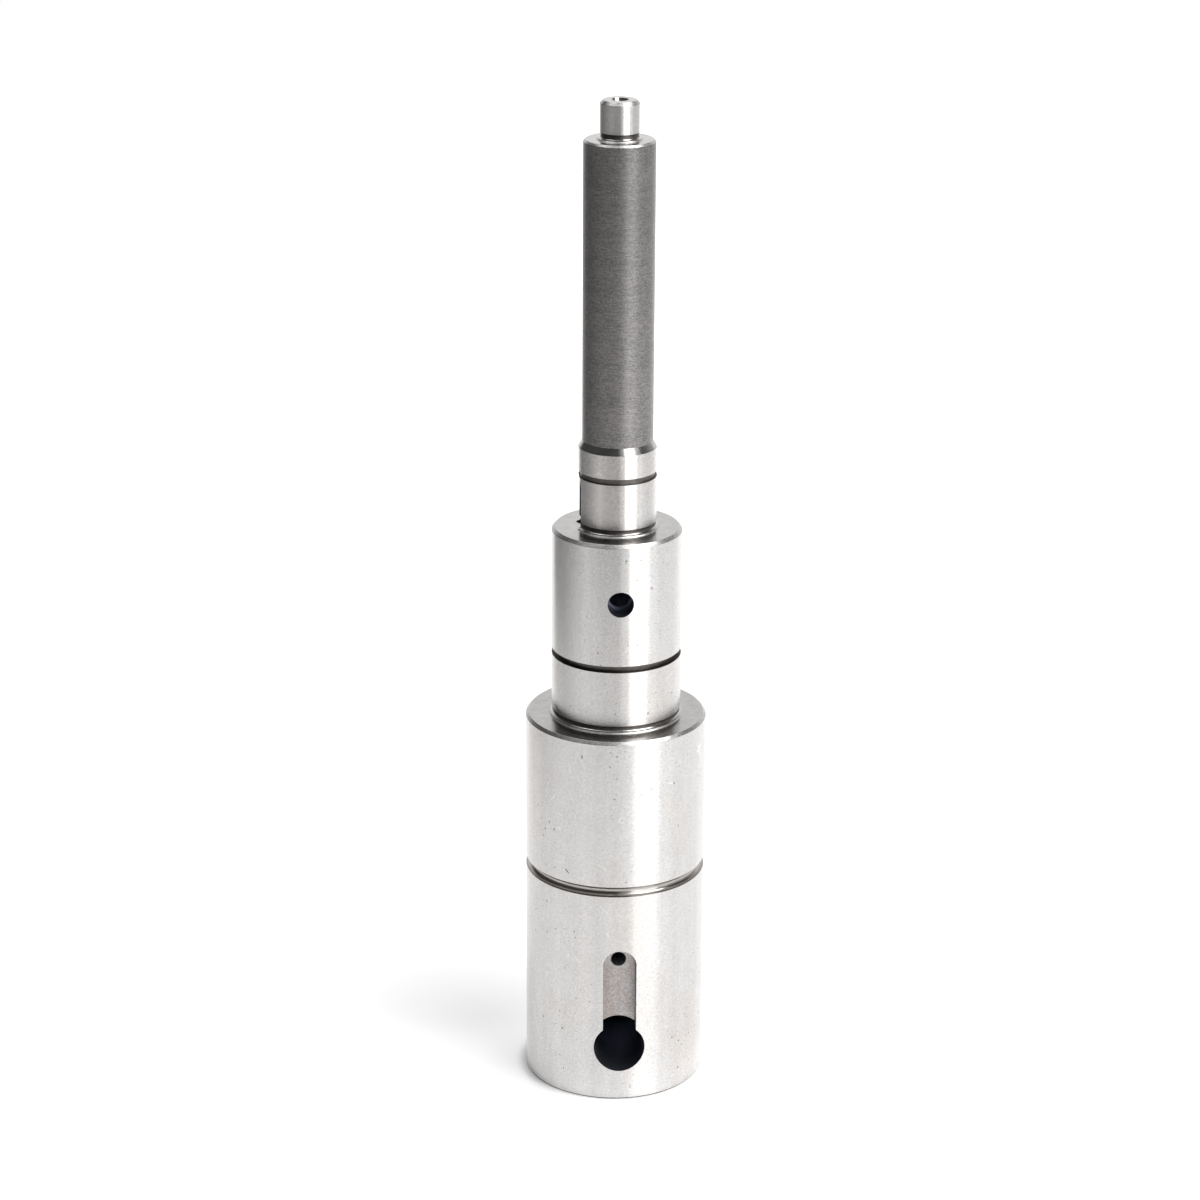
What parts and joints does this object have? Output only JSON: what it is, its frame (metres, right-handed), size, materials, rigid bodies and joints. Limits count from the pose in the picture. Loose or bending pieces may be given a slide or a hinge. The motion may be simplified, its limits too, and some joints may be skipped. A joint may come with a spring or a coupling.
{
  "type": "spindle",
  "caption": "Stepped steel spindle with a keyhole slot and cross-bore in its ground body, ring grooves, a keyed seat, a long turned shank and a centred end stub.",
  "frame": {"origin": "centre of the base, the flat end of the large body", "axes": "+Z along the spindle's axis towards the stub, keyhole slot and pin hole facing -Y, keyway facing -X"},
  "size_m": [0.035, 0.035, 0.1953],
  "materials": {
    "steel": "ground, with the shank as turned"
  },
  "bodies": {
    "root": {"spindle": "steel"}
  },
  "joints": []
}
